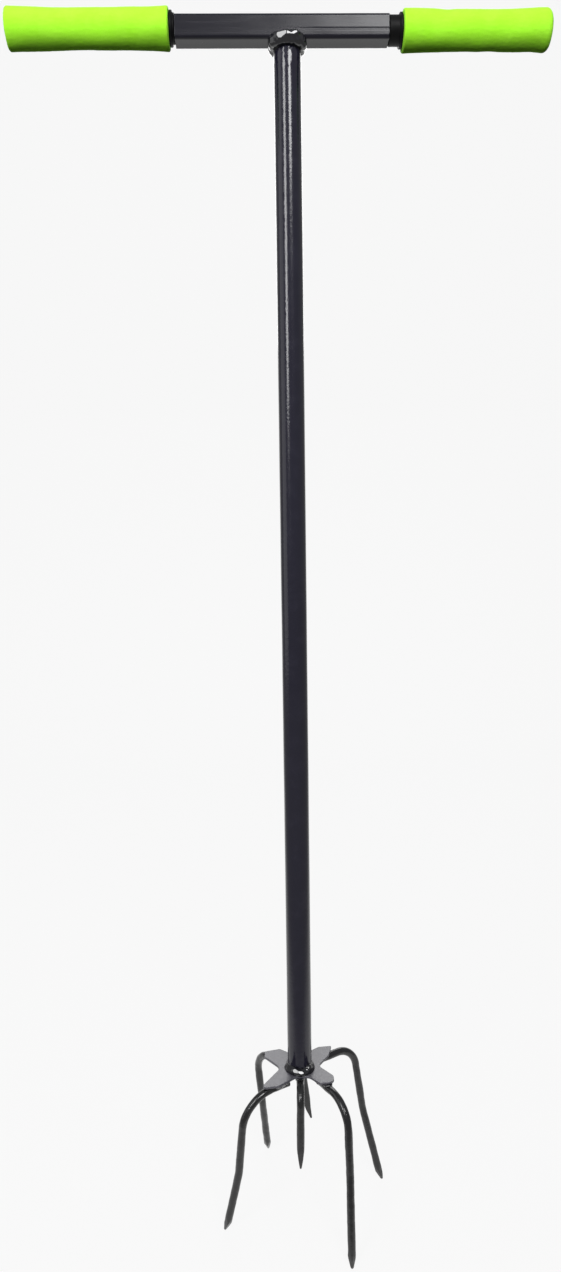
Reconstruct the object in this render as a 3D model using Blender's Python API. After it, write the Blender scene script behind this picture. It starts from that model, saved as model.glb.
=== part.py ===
"""Twist tiller: a T-handled hand tool with six bent steel tines.

Run with: blender --background --python part.py
Units are metres, +Z is up. The origin is on the shaft's axis, in the plane of
the outer tines' points. The user stands in front, towards -Y.
"""

import bmesh
import bpy
import numpy as np
from mathutils import Vector
from math import acos, cos, pi, radians, sin, sqrt, tan

# Gap kept between pieces that touch on the real tool
GAP = 0.0003

# Heights above the points of the outer tines
PLATE_TOP_Z = 0.1396
CROSSBAR_Z = 1.0317

# Shaft: round steel tube
SHAFT_RADIUS = 0.011
SHAFT_WALL = 0.0015
SHAFT_SIDES = 48

# Crossbar: square steel tube, welded on a little to the left of its middle
BAR_SIDE = 0.019
BAR_WALL = 0.0015
BAR_CORNER = 0.0026
CORNER_STEPS = 4
BAR_LEFT_X = -0.0897
BAR_RIGHT_X = 0.0816

# Grip cores: plastic plugs, each with a peg in the crossbar and a sleeve in the foam
PEG_LENGTH = 0.028
PEG_RADIUS = 0.0055
PEG_BARB_RADIUS = 0.0077
PEG_TIP_RADIUS = 0.0044
PEG_BARBS = 3
# One barb: share of the barbs' pitch from its foot, radius
PEG_BARB_STEPS = (
    (0.4, PEG_RADIUS), (0.85, PEG_BARB_RADIUS), (1.0, PEG_BARB_RADIUS), (1.05, PEG_RADIUS),
)
SLEEVE_RADIUS = 0.011
SLEEVE_BORE = 0.0092
COLLAR_RADIUS = 0.0128
COLLAR_WIDTH = 0.0022
SLEEVE_END_INSET = 0.009
PLASTIC_EDGE = 0.0005
CORE_SIDES = 32

# Foam grips: waisted, with a closed outer end
FOAM_END_RADIUS = 0.0158
FOAM_WAIST_RADIUS = 0.0148
FOAM_WAIST_POWER = 2.5
FOAM_LIP = 0.0012
FOAM_ROUNDING = {"left": 0.0020, "right": 0.0040}
FOAM_ROUNDING_STEPS = 4
FOAM_END_WALL = 0.006
FOAM_SIDES = 48
FOAM_ROWS = 8

# Side, crossbar end, way, sleeve shown before the foam, foam length, lift of the core
GRIPS = (
    ("left", BAR_LEFT_X, -1, 0.0042, 0.1290, 0.0019),
    ("right", BAR_RIGHT_X, 1, 0.0108, 0.1200, 0.0),
)

# Tine plate: a square with a notch in each side, cut by hand and a little askew. Each
# corner of its outline has x, y and rounding: a notch, then a lobe's shoulder, corner
# and other shoulder. The notches are the right, rear, left and front one.
PLATE_THICKNESS = 0.002
PLATE_CORNERS = (
    (0.0175, 0.0011, 0.0060), (0.0286, 0.0183, 0.0040), (0.0318, 0.0327, 0.0012),
    (0.0190, 0.0314, 0.0060),
    (-0.0005, 0.0160, 0.0060), (-0.0178, 0.0298, 0.0030), (-0.0322, 0.0262, 0.0032),
    (-0.0327, 0.0175, 0.0030),
    (-0.0179, -0.0009, 0.0075), (-0.0340, -0.0260, 0.0030), (-0.0336, -0.0305, 0.0024),
    (-0.0200, -0.0285, 0.0050),
    (-0.0035, -0.0146, 0.0060), (0.0080, -0.0156, 0.0050), (0.0168, -0.0258, 0.0035),
    (0.0303, -0.0246, 0.0052), (0.0300, -0.0146, 0.0040),
)
PLATE_EDGE_BEVEL = 0.0003
PLATE_STEPS = 6

# Tines: round steel rod with a ground point
ROD_RADIUS = 0.0035
ROD_SIDES = 16
BEND_STEPS = 8
# The point: from the tip, how far up the rod, its radius there, and its share of the
# tip's step aside
OUTER_POINT_STEPS = (
    (0.0100, ROD_RADIUS, 0.0), (0.0014, 0.0014, 0.9), (0.0, 0.0009, 1.0),
)
INNER_POINT_STEPS = (
    (0.0300, ROD_RADIUS, 0.0), (0.0140, 0.0037, 0.0), (0.0014, 0.0012, 0.9), (0.0, 0.0008, 1.0),
)
TINE_Z = PLATE_TOP_Z - PLATE_THICKNESS - GAP - ROD_RADIUS

# Outer tine in its own frame: reach (outward), side (anticlockwise from above), height
OUTER_ROOT = (0.0180, 0.0027)
OUTER_SHOULDER = (0.0628, -0.0062)
OUTER_ELBOW = (0.0670, -0.0139, 0.0674)
OUTER_POINT = (0.0768, -0.0310, 0.0003)
OUTER_ELBOW_BEND = 0.062

# Inner tine in its own frame
INNER_ROOT = (0.0065, 0.0)
INNER_SHOULDER = (0.0325, -0.0008)
INNER_POINT = (0.0347, -0.0060, 0.0633)
INNER_SHOULDER_BEND = 0.0125

# How each outer tine was bent and welded on: name, bearing, turn, radius of the
# shoulder's bend, then how far its shoulder (outward, sideways), elbow (outward,
# sideways, up) and point (outward, sideways) lie beyond the common shape, and the step
# aside of its tip, to the side that the tine leans to
OUTER_TINES = (
    ("front_left", -135.0, -1.8, 0.0311,
     (-0.0002, -0.0008), (-0.0025, -0.0011, -0.0080), (-0.0058, 0.0043), 0.0013),
    ("front_right", -45.0, 3.4, 0.0263,
     (-0.0009, -0.0041), (0.0010, -0.0013, 0.0048), (0.0042, 0.0003), 0.0),
    ("rear_right", 45.0, -0.8, 0.0214,
     (0.0038, -0.0019), (0.0059, -0.0007, 0.0021), (0.0011, -0.0027), 0.0013),
    ("rear_left", 135.0, -0.6, 0.0302,
     (-0.0014, 0.0035), (-0.0036, 0.0015, 0.0014), (0.0006, -0.0019), 0.0008),
)
# Inner tines: name, bearing, how far the point lies sideways beyond the common shape,
# and the step aside of its tip
INNER_TINES = (
    ("front_inner", -90.0, 0.0044, 0.0),
    ("rear_inner", 90.0, -0.0043, 0.0018),
)

# Weld beads round the shaft: reach beyond the tube, height on it, ripples round the bead
HANDLE_BEAD_REACH = 0.0046
HANDLE_BEAD_DROP = 0.0065
HANDLE_BEAD_CLIMB = 0.0052
HUB_BEAD_REACH = 0.0048
HUB_BEAD_HEIGHT = 0.0062
BEAD_STEPS = 40
BEAD_ROOT = 0.003
BEAD_RIPPLES = 13
BEAD_RIPPLE_DEPTH = 0.00045
BEAD_SWELLS = 5
BEAD_SWELL_DEPTH = 0.00036

# Section of a bead: share of its reach, share of its height, share of the ripples.
# The handle bead's heights are taken up from the bar's underside and down from it.
HANDLE_BEAD_SECTION = (
    (0.17, -1.0, 0.3), (0.45, -0.8, 1.0), (0.8, -0.45, 1.0), (1.0, -0.1, 1.0),
    (0.9, 0.4, 1.0), (0.5, 0.8, 1.0), (0.0, 1.0, 0.5),
)
HUB_BEAD_SECTION = (
    (1.0, 0.0, 1.0), (1.02, 0.15, 1.0), (0.72, 0.5, 1.0), (0.4, 0.82, 0.8), (0.17, 1.0, 0.3),
)

# Tine beads: centre, half length and half width along the rod, depth under the plate
OUTER_BEAD = (0.0275, 0.0130, 0.0064, 0.0056)
INNER_BEAD = (0.0100, 0.0070, 0.0050, 0.0054)
TINE_BEAD_ROWS = 15
TINE_BEAD_POINTS = 11
TINE_BEAD_END = 0.97
TINE_BEAD_RIPPLE = 0.07
TINE_BEAD_WAVES = 17

# Finishes: colour, roughness, metallic
BLACK_PAINT = ("black_paint", (0.016, 0.016, 0.020, 1.0), 0.28, 0.0)
PLATE_PAINT = ("plate_paint", (0.030, 0.030, 0.036, 1.0), 0.32, 0.0)
BLACK_PLASTIC = ("black_plastic", (0.010, 0.010, 0.011, 1.0), 0.55, 0.0)
GREEN_FOAM = ("green_foam", (0.42, 0.90, 0.035, 1.0), 0.80, 0.0)


def clear_scene():
    """Remove whatever the new file holds."""
    for item in list(bpy.data.objects):
        bpy.data.objects.remove(item, do_unlink=True)


def make_material(node, finish):
    """A Principled material of the node's own, in the given finish."""
    name, colour, roughness, metallic = finish
    material = bpy.data.materials.new(f"{node}_{name}")
    material.use_nodes = True
    shader = material.node_tree.nodes["Principled BSDF"]
    shader.inputs["Base Color"].default_value = colour
    shader.inputs["Roughness"].default_value = roughness
    shader.inputs["Metallic"].default_value = metallic
    return material


def link_mesh(name, bm, finish=None, smooth_angle=35.0):
    """Turn a bmesh into a linked object, dressed and shaded if it has a finish."""
    bmesh.ops.recalc_face_normals(bm, faces=bm.faces)
    mesh = bpy.data.meshes.new(name)
    bm.to_mesh(mesh)
    bm.free()
    item = bpy.data.objects.new(name, mesh)
    bpy.context.scene.collection.objects.link(item)
    if finish:
        mesh.materials.append(make_material(name, finish))
        mesh.shade_smooth()
        mesh.set_sharp_from_angle(angle=radians(smooth_angle))
    return item


def make_cutter(name, bm):
    """A hidden object that only cuts others."""
    cutter = link_mesh(name, bm)
    cutter.hide_render = True
    cutter.display_type = "WIRE"
    return cutter


def cut(item, *cutters):
    """Take each cutter's space out of the item."""
    for cutter in cutters:
        boolean = item.modifiers.new(f"cut_by_{cutter.name}", "BOOLEAN")
        boolean.operation = "DIFFERENCE"
        boolean.solver = "EXACT"
        boolean.object = cutter


def skin_rings(rings, caps):
    """Join equal rings of points in order; cap both ends, or close the row on itself."""
    bm = bmesh.new()
    rows = [[bm.verts.new(point) for point in ring] for ring in rings]
    pairs = list(zip(rows, rows[1:]))
    if not caps:
        pairs.append((rows[-1], rows[0]))
    for low, high in pairs:
        for i in range(len(low)):
            j = (i + 1) % len(low)
            bm.faces.new((low[i], low[j], high[j], high[i]))
    if caps:
        bm.faces.new(rows[0])
        bm.faces.new(rows[-1])
    return bm


def turned(profile, sides, axis="Z", centre=(0.0, 0.0, 0.0)):
    """Spin a closed profile of (radius, along) points about an axis through the centre."""
    bm = bmesh.new()
    along = Vector((0, 0, 1)) if axis == "Z" else Vector((1, 0, 0))
    out = Vector((1, 0, 0)) if axis == "Z" else Vector((0, 0, 1))
    centre = Vector(centre)
    points = [bm.verts.new(centre + out * r + along * a) for r, a in profile]
    edges = [bm.edges.new((a, b)) for a, b in zip(points, points[1:])]
    if profile[0][0] > 0.0:
        edges.append(bm.edges.new((points[-1], points[0])))
    bmesh.ops.spin(bm, geom=points + edges, cent=centre, axis=along, angle=2 * pi,
                   steps=sides, use_merge=True)
    bmesh.ops.remove_doubles(bm, verts=bm.verts, dist=1e-6)
    return bm


def arc(centre, radius, start, end, steps):
    """Points on an arc from start to end degrees, both included."""
    angles = np.radians(np.linspace(start, end, steps + 1))
    return [(centre[0] + radius * cos(a), centre[1] + radius * sin(a)) for a in angles]


def rounded_square(side, corner, steps):
    """Outline of a square with round corners, anticlockwise."""
    inset = side / 2 - corner
    outline = []
    for quarter in range(4):
        sx, sy = ((1, 1), (-1, 1), (-1, -1), (1, -1))[quarter]
        outline += arc((sx * inset, sy * inset), corner, quarter * 90, quarter * 90 + 90, steps)
    return outline


def rod_path(corners, bends, steps):
    """A path through straight runs with a round bend at each inner corner."""
    corners = [Vector(c) for c in corners]
    path = [corners[0]]
    for before, corner, after, bend in zip(corners, corners[1:], corners[2:], bends):
        back, ahead = (before - corner).normalized(), (after - corner).normalized()
        half = acos(max(-1.0, min(1.0, back.dot(ahead)))) / 2
        centre = corner + (back + ahead).normalized() * (bend / sin(half))
        start = (corner + back * (bend / tan(half)) - centre).normalized()
        end = (corner + ahead * (bend / tan(half)) - centre).normalized()
        path += [centre + start.slerp(end, i / steps) * bend for i in range(steps + 1)]
    return path + [corners[-1]]


def pointed_rod(path, steps, aside):
    """Rod along a path, ground to a point at its end: (place, radius) pairs.

    The point's middle steps aside, square to the rod, to the side that it leans to.
    """
    tip, run = path[-1], (path[-1] - path[-2]).normalized()
    lean = Vector((run.x, run.y, 0.0)).normalized()
    step = (lean - run * lean.dot(run)).normalized() * aside
    rod = [(place, ROD_RADIUS) for place in path[:-1]]
    return rod + [(tip - run * back + step * share, radius) for back, radius, share in steps]


def rod_rings(rod, wide, sides):
    """Rings round the rod's (place, radius) pairs, each starting at the wide direction."""
    rings = []
    places = [place for place, _ in rod]
    for i, (place, radius) in enumerate(rod):
        run = (places[min(i + 1, len(places) - 1)] - places[max(i - 1, 0)]).normalized()
        across = (wide - run * wide.dot(run)).normalized()
        thin = run.cross(across)
        angles = [2 * pi * k / sides for k in range(sides)]
        rings.append([place + (across * cos(a) + thin * sin(a)) * radius for a in angles])
    return rings


def on_bearing(place, bearing):
    """Turn a (reach, side, height) place to its bearing round the shaft, in degrees."""
    reach, side, height = place
    a = radians(bearing)
    return Vector((reach * cos(a) - side * sin(a), reach * sin(a) + side * cos(a), height))


def build_shaft():
    """Long round tube between the plate and the crossbar, open at both ends."""
    low = PLATE_TOP_Z + GAP
    high = CROSSBAR_Z - BAR_SIDE / 2 - GAP
    bore = SHAFT_RADIUS - SHAFT_WALL
    profile = [(SHAFT_RADIUS, low), (SHAFT_RADIUS, high), (bore, high), (bore, low)]
    return link_mesh("shaft_tube", turned(profile, SHAFT_SIDES), BLACK_PAINT)


def build_crossbar():
    """Square tube with round corners, open at both ends."""
    outer = rounded_square(BAR_SIDE, BAR_CORNER, CORNER_STEPS)
    inner = rounded_square(BAR_SIDE - 2 * BAR_WALL, BAR_CORNER - BAR_WALL, CORNER_STEPS)

    def loop(outline, x):
        return [(x, y, CROSSBAR_Z + z) for y, z in outline]

    rings = [loop(outer, BAR_LEFT_X), loop(outer, BAR_RIGHT_X),
             loop(inner, BAR_RIGHT_X), loop(inner, BAR_LEFT_X)]
    return link_mesh("crossbar_tube", skin_rings(rings, caps=False), BLACK_PAINT)


def build_grip_core(side, bar_end, way, shown, foam_length, lift):
    """Plastic plug: barbed peg in the crossbar, collar at the foam's mouth, open sleeve."""
    pitch = PEG_LENGTH / (PEG_BARBS + 1)
    profile = [(0.0, -PEG_LENGTH), (PEG_TIP_RADIUS, -PEG_LENGTH)]
    for barb in range(PEG_BARBS):
        foot = -PEG_LENGTH + pitch * barb
        profile += [(radius, foot + pitch * share) for share, radius in PEG_BARB_STEPS]
    collar = shown - COLLAR_WIDTH
    sleeve_end = shown + foam_length - SLEEVE_END_INSET
    edge = PLASTIC_EDGE
    profile += [
        (PEG_RADIUS, GAP), (SLEEVE_RADIUS - edge, GAP), (SLEEVE_RADIUS, GAP + edge),
        (SLEEVE_RADIUS, collar), (COLLAR_RADIUS - edge, collar),
        (COLLAR_RADIUS, collar + edge), (COLLAR_RADIUS, shown - edge),
        (COLLAR_RADIUS - edge, shown), (SLEEVE_RADIUS, shown),
        (SLEEVE_RADIUS, sleeve_end), (SLEEVE_BORE, sleeve_end),
        (SLEEVE_BORE, shown), (0.0, shown),
    ]
    placed = [(radius, way * along) for radius, along in profile]
    centre = (bar_end, 0.0, CROSSBAR_Z)
    core = turned(placed, CORE_SIDES, axis="X", centre=centre)
    for vert in core.verts:
        if way * (vert.co.x - bar_end) > GAP / 2:
            vert.co.z += lift
    return link_mesh(f"{side}_grip_core", core, BLACK_PLASTIC)


def build_foam_grip(side, bar_end, way, shown, foam_length, lift):
    """Waisted foam tube over the sleeve, closed and rounded at its outer end."""
    mouth, end = shown + GAP, shown + foam_length
    rounding = FOAM_ROUNDING[side]
    bore = SLEEVE_RADIUS + GAP
    floor = end - FOAM_END_WALL
    profile = [(0.0, floor), (bore, floor), (bore, mouth), (FOAM_END_RADIUS - FOAM_LIP, mouth)]
    for share in np.linspace(0.0, 1.0, FOAM_ROWS + 1):
        along = mouth + FOAM_LIP + (end - rounding - mouth - FOAM_LIP) * share
        bulge = abs(2 * share - 1) ** FOAM_WAIST_POWER
        radius = FOAM_WAIST_RADIUS + (FOAM_END_RADIUS - FOAM_WAIST_RADIUS) * bulge
        profile.append((radius, along))
    corner = arc((end - rounding, FOAM_END_RADIUS - rounding), rounding, 90, 0,
                 FOAM_ROUNDING_STEPS)
    profile += [(radius, along) for along, radius in corner[1:]]
    profile.append((0.0, end))
    placed = [(radius, way * along) for radius, along in profile]
    centre = (bar_end, 0.0, CROSSBAR_Z + lift)
    return link_mesh(f"{side}_foam_grip", turned(placed, FOAM_SIDES, axis="X", centre=centre),
                     GREEN_FOAM)


def build_plate():
    """Four-lobed plate: a square with a notch in each side, each corner rounded."""
    corners = [Vector((x, y, 0.0)) for x, y, _ in PLATE_CORNERS]
    roundings = [rounding for _, _, rounding in PLATE_CORNERS]
    start = (corners[0] + corners[-1]) / 2
    outline = rod_path([start, *corners, start], roundings, PLATE_STEPS)[1:-1]
    low = PLATE_TOP_Z - PLATE_THICKNESS
    rings = [[(p.x, p.y, z) for p in outline] for z in (low, PLATE_TOP_Z)]
    plate = link_mesh("tine_plate", skin_rings(rings, caps=True), PLATE_PAINT)
    edge = plate.modifiers.new("edge", "BEVEL")
    edge.width = PLATE_EDGE_BEVEL
    edge.segments = 1
    edge.limit_method = "ANGLE"
    edge.angle_limit = radians(60)
    return plate


def outer_tine_path(setting):
    """Centre line of an outer tine: out under its lobe, down, then out and back."""
    _, bearing, turn, bend, shoulder, elbow, point, _ = setting
    corners = (
        (*OUTER_ROOT, TINE_Z),
        (OUTER_SHOULDER[0] + shoulder[0], OUTER_SHOULDER[1] + shoulder[1], TINE_Z),
        [common + extra for common, extra in zip(OUTER_ELBOW, elbow)],
        (OUTER_POINT[0] + point[0], OUTER_POINT[1] + point[1], OUTER_POINT[2]),
    )
    placed = [on_bearing(corner, bearing + turn) for corner in corners]
    return rod_path(placed, (bend, OUTER_ELBOW_BEND), BEND_STEPS)


def inner_tine_path(setting):
    """Centre line of an inner tine: out past the plate's notch, then straight down."""
    _, bearing, side, _ = setting
    corners = (
        (*INNER_ROOT, TINE_Z),
        (*INNER_SHOULDER, TINE_Z),
        (INNER_POINT[0], INNER_POINT[1] + side, INNER_POINT[2]),
    )
    placed = [on_bearing(corner, bearing) for corner in corners]
    return rod_path(placed, (INNER_SHOULDER_BEND,), BEND_STEPS)


def build_tine(setting, path, point_steps):
    """One tine of round rod with its ground point."""
    name, bearing, aside = setting[0], setting[1], setting[-1]
    wide = on_bearing((0.0, 1.0, 0.0), bearing)
    rings = rod_rings(pointed_rod(path, point_steps, aside), wide, ROD_SIDES)
    return link_mesh(f"{name}_tine", skin_rings(rings, caps=True), BLACK_PAINT)


def build_tine_weld(setting, path, bead):
    """Bead between a tine and the plate's underside, wrapped round the tine's root."""
    name = setting[0]
    middle, half_length, half_width, depth = bead
    top = PLATE_TOP_Z - PLATE_THICKNESS - GAP
    run = (path[1] - path[0]).normalized()
    across = Vector((-run.y, run.x, 0.0))
    root_reach = OUTER_ROOT[0] if bead is OUTER_BEAD else INNER_ROOT[0]
    centre = path[0] + run * (middle - root_reach)
    rings = []
    for share in np.linspace(-TINE_BEAD_END, TINE_BEAD_END, TINE_BEAD_ROWS):
        ripple = TINE_BEAD_RIPPLE * sin(share * TINE_BEAD_WAVES + setting[1])
        swell = sqrt(1 - share ** 2) * (1 + ripple)
        place = centre + run * half_length * share
        ring = []
        for angle in np.linspace(0, pi, TINE_BEAD_POINTS):
            ring.append((place.x + across.x * half_width * swell * cos(angle),
                         place.y + across.y * half_width * swell * cos(angle),
                         top - depth * swell * sin(angle)))
        rings.append(ring)
    weld = link_mesh(f"{name}_tine_weld", skin_rings(rings, caps=True), BLACK_PAINT)
    rod = [(place, ROD_RADIUS + GAP) for place in (path[0] - run * GAP, *path[1:])]
    cutter = make_cutter(f"{name}_rod_cutter",
                         skin_rings(rod_rings(rod, across, ROD_SIDES), caps=True))
    cut(weld, cutter)
    return weld


def ring_bead(rows, phase):
    """Rippled bead round the shaft from (radius, height, ripple share) rows."""
    rings = []
    for step in range(BEAD_STEPS):
        a = 2 * pi * step / BEAD_STEPS
        ripple = (BEAD_RIPPLE_DEPTH * sin(BEAD_RIPPLES * a + phase)
                  + BEAD_SWELL_DEPTH * sin(BEAD_SWELLS * a + 2 * phase))
        rings.append([((radius + ripple * share) * cos(a), (radius + ripple * share) * sin(a),
                       height) for radius, height, share in rows])
    return skin_rings(rings, caps=False)


def shaft_cutter(name, low, high):
    """Cylinder a gap wider than the shaft."""
    profile = [(0.0, low), (SHAFT_RADIUS + GAP, low), (SHAFT_RADIUS + GAP, high), (0.0, high)]
    return make_cutter(name, turned(profile, SHAFT_SIDES))


def build_handle_weld():
    """Bead round the shaft's top that climbs the crossbar's front and back faces."""
    under = CROSSBAR_Z - BAR_SIDE / 2
    rows = []
    for reach, height, ripple in HANDLE_BEAD_SECTION:
        tall = HANDLE_BEAD_CLIMB if height > 0 else HANDLE_BEAD_DROP
        rows.append((SHAFT_RADIUS + HANDLE_BEAD_REACH * reach, under + tall * height, ripple))
    root = SHAFT_RADIUS - BEAD_ROOT
    rows = [(root, rows[0][1], 0.0), *rows, (root, rows[-1][1], 0.0)]
    weld = link_mesh("handle_weld", ring_bead(rows, phase=0.6), BLACK_PAINT)
    outline = rounded_square(BAR_SIDE + 2 * GAP, BAR_CORNER, CORNER_STEPS)
    ends = (-2 * BAR_SIDE, 2 * BAR_SIDE)
    rings = [[(x, y, CROSSBAR_Z + z) for y, z in outline] for x in ends]
    cut(weld, shaft_cutter("handle_shaft_cutter", under - BAR_SIDE, under),
        make_cutter("crossbar_cutter", skin_rings(rings, caps=True)))
    return weld


def build_hub_weld():
    """Fillet bead round the shaft's foot on the plate."""
    low = PLATE_TOP_Z + GAP
    rows = [(SHAFT_RADIUS + HUB_BEAD_REACH * reach, low + HUB_BEAD_HEIGHT * height, ripple)
            for reach, height, ripple in HUB_BEAD_SECTION]
    root = SHAFT_RADIUS - BEAD_ROOT
    rows = [(root, rows[0][1], 0.0), *rows, (root, rows[-1][1], 0.0)]
    weld = link_mesh("hub_weld", ring_bead(rows, phase=2.1), BLACK_PAINT)
    cut(weld, shaft_cutter("hub_shaft_cutter", low - BAR_SIDE, low + BAR_SIDE))
    return weld


def gather(items):
    """Parent every piece to one empty at the origin."""
    root = bpy.data.objects.new("twist_tiller", None)
    bpy.context.scene.collection.objects.link(root)
    for item in items:
        item.parent = root


def main():
    clear_scene()
    pieces = [build_shaft(), build_crossbar(), build_handle_weld(), build_plate(),
              build_hub_weld()]
    for grip in GRIPS:
        pieces += [build_grip_core(*grip), build_foam_grip(*grip)]
    for setting in OUTER_TINES:
        path = outer_tine_path(setting)
        pieces += [build_tine(setting, path, OUTER_POINT_STEPS),
                   build_tine_weld(setting, path, OUTER_BEAD)]
    for setting in INNER_TINES:
        path = inner_tine_path(setting)
        pieces += [build_tine(setting, path, INNER_POINT_STEPS),
                   build_tine_weld(setting, path, INNER_BEAD)]
    gather(pieces)


main()
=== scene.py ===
"""Looks of the twist tiller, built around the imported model.

Lengths are metres and +Z is up. The origin is on the shaft's axis, in the plane of the
outer tines' points, and the user stands in front, towards -Y. Every new piece is a grid
of points worked out as whole arrays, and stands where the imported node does. Fields that
end in `_noise` are (depth, wavelength) pairs of soft noise.
"""

from __future__ import annotations

import logging
from dataclasses import dataclass
from enum import Enum
from functools import cache
from math import acos, cos, pi, radians, sin, sqrt, tan

import bpy
import numpy as np
from mathutils import Matrix, Vector

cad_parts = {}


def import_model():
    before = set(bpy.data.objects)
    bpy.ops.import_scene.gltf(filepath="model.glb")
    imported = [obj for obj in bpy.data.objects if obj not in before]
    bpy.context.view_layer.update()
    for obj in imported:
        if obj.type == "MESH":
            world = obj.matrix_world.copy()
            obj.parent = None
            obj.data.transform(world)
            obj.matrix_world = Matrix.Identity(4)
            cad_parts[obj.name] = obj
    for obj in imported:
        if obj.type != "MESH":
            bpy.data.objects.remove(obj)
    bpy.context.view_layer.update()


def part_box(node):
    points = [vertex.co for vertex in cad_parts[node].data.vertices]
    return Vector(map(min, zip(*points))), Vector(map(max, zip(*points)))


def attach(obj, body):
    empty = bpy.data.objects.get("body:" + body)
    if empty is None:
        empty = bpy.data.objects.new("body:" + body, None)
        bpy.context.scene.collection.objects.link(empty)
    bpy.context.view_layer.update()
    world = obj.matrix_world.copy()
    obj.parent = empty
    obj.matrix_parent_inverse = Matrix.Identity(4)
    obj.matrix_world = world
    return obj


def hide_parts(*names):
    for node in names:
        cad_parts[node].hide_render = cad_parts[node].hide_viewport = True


LOG = logging.getLogger("twist_tiller")
BODY = "root"
ORIGIN = np.zeros(3)
GAP = 0.0003
WAVES = 22
WAVE_SPREAD = (0.7, 1.6)
BEND_POINTS = 25
ALL_SMOOTH = 180.0

Pair = tuple[float, float]
Triple = tuple[float, float, float]
Colour = tuple[float, float, float, float]


class Slot(Enum):
    """Material slot names, which the finishes carry."""

    BLACK_PAINT = "black_paint"
    PLATE_PAINT = "plate_paint"
    BLACK_PLASTIC = "black_plastic"
    GREEN_FOAM = "green_foam"


class Way(Enum):
    """The side of the shaft that a grip is on, as the sign of its X."""

    LEFT = -1
    RIGHT = 1


# Points and surfaces


def soft_noise(points: np.ndarray, noise: Pair, seed: int) -> np.ndarray:
    """Smooth noise, the same in every direction.

    The sum of plane waves with random directions and phases, and lengths spread about
    the wavelength, divided by the root of half their number.

    Args:
        points: array of points, the last axis being x, y, z.
        noise: typical depth, and distance between swellings.
        seed: picks the waves.

    Returns:
        One value for each point.
    """
    depth, wavelength = noise
    rng = np.random.default_rng(seed)
    heading = rng.normal(size=(WAVES, 3))
    heading /= np.linalg.norm(heading, axis=1, keepdims=True)
    lengths = wavelength * rng.uniform(*WAVE_SPREAD, WAVES)
    shift = rng.uniform(0.0, 2 * pi, WAVES)
    phase = points @ (2 * pi * heading / lengths[:, None]).T + shift
    return depth * (np.sin(phase).sum(axis=-1) / sqrt(WAVES / 2))


def ease(value: np.ndarray, low: float, high: float) -> np.ndarray:
    """Smooth step: 0 below low, 1 above high, 3t^2 - 2t^3 between them."""
    t = np.clip((value - low) / (high - low), 0.0, 1.0)
    return t * t * (3 - 2 * t)


def hump(value: np.ndarray, centre: float, width: float) -> np.ndarray:
    """Bell curve exp(-((value - centre) / width)^2)."""
    return np.exp(-(((value - centre) / width) ** 2))


def unit(vectors: np.ndarray) -> np.ndarray:
    """Each vector divided by its length."""
    return vectors / np.maximum(np.linalg.norm(vectors, axis=-1, keepdims=True), 1e-12)


def around(count: int) -> np.ndarray:
    """Evenly spaced angles once round."""
    return np.linspace(0.0, 2 * pi, count, endpoint=False)


def superellipse(angle: np.ndarray, power: float) -> np.ndarray:
    """Radius of a superellipse of half width 1: (|cos|^p + |sin|^p)^(-1/p)."""
    return (np.abs(np.cos(angle)) ** power + np.abs(np.sin(angle)) ** power) ** (-1 / power)


def linked(name: str, data: bpy.types.ID) -> bpy.types.Object:
    """Add an object to the scene.

    Args:
        name: the object's name.
        data: its mesh, lamp or camera.

    Returns:
        The object.
    """
    made = bpy.data.objects.new(name, data)
    bpy.context.scene.collection.objects.link(made)
    return made


def mesh_object(name: str, points: np.ndarray, faces: list[list[int]],
                sharp_angle: float = ALL_SMOOTH) -> bpy.types.Object:
    """A linked object with this mesh, at the origin.

    Args:
        name: the object's name.
        points: the mesh's points.
        faces: point numbers of each face.
        sharp_angle: edges that turn more than this, in degrees, stay sharp.

    Returns:
        The object.
    """
    mesh = bpy.data.meshes.new(name)
    mesh.from_pydata(points.reshape(-1, 3).tolist(), [], faces)
    mesh.shade_smooth()
    if sharp_angle < ALL_SMOOTH:
        mesh.set_sharp_from_angle(angle=radians(sharp_angle))
    return linked(name, mesh)


def quads(grid: np.ndarray, rows_join: bool, columns_join: bool) -> np.ndarray:
    """Point numbers of each quad: this row and the next, this column and the next.

    Args:
        grid: rows and columns of points.
        rows_join: whether the last row joins the first.
        columns_join: whether the last column joins the first.

    Returns:
        Four point numbers for each quad.
    """
    rows, columns = grid.shape[:2]
    row = np.arange(rows if rows_join else rows - 1)[:, None]
    column = np.arange(columns if columns_join else columns - 1)[None, :]
    after, beside = (row + 1) % rows, (column + 1) % columns
    return np.stack([row * columns + column, row * columns + beside,
                     after * columns + beside, after * columns + column], -1).reshape(-1, 4)


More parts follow.
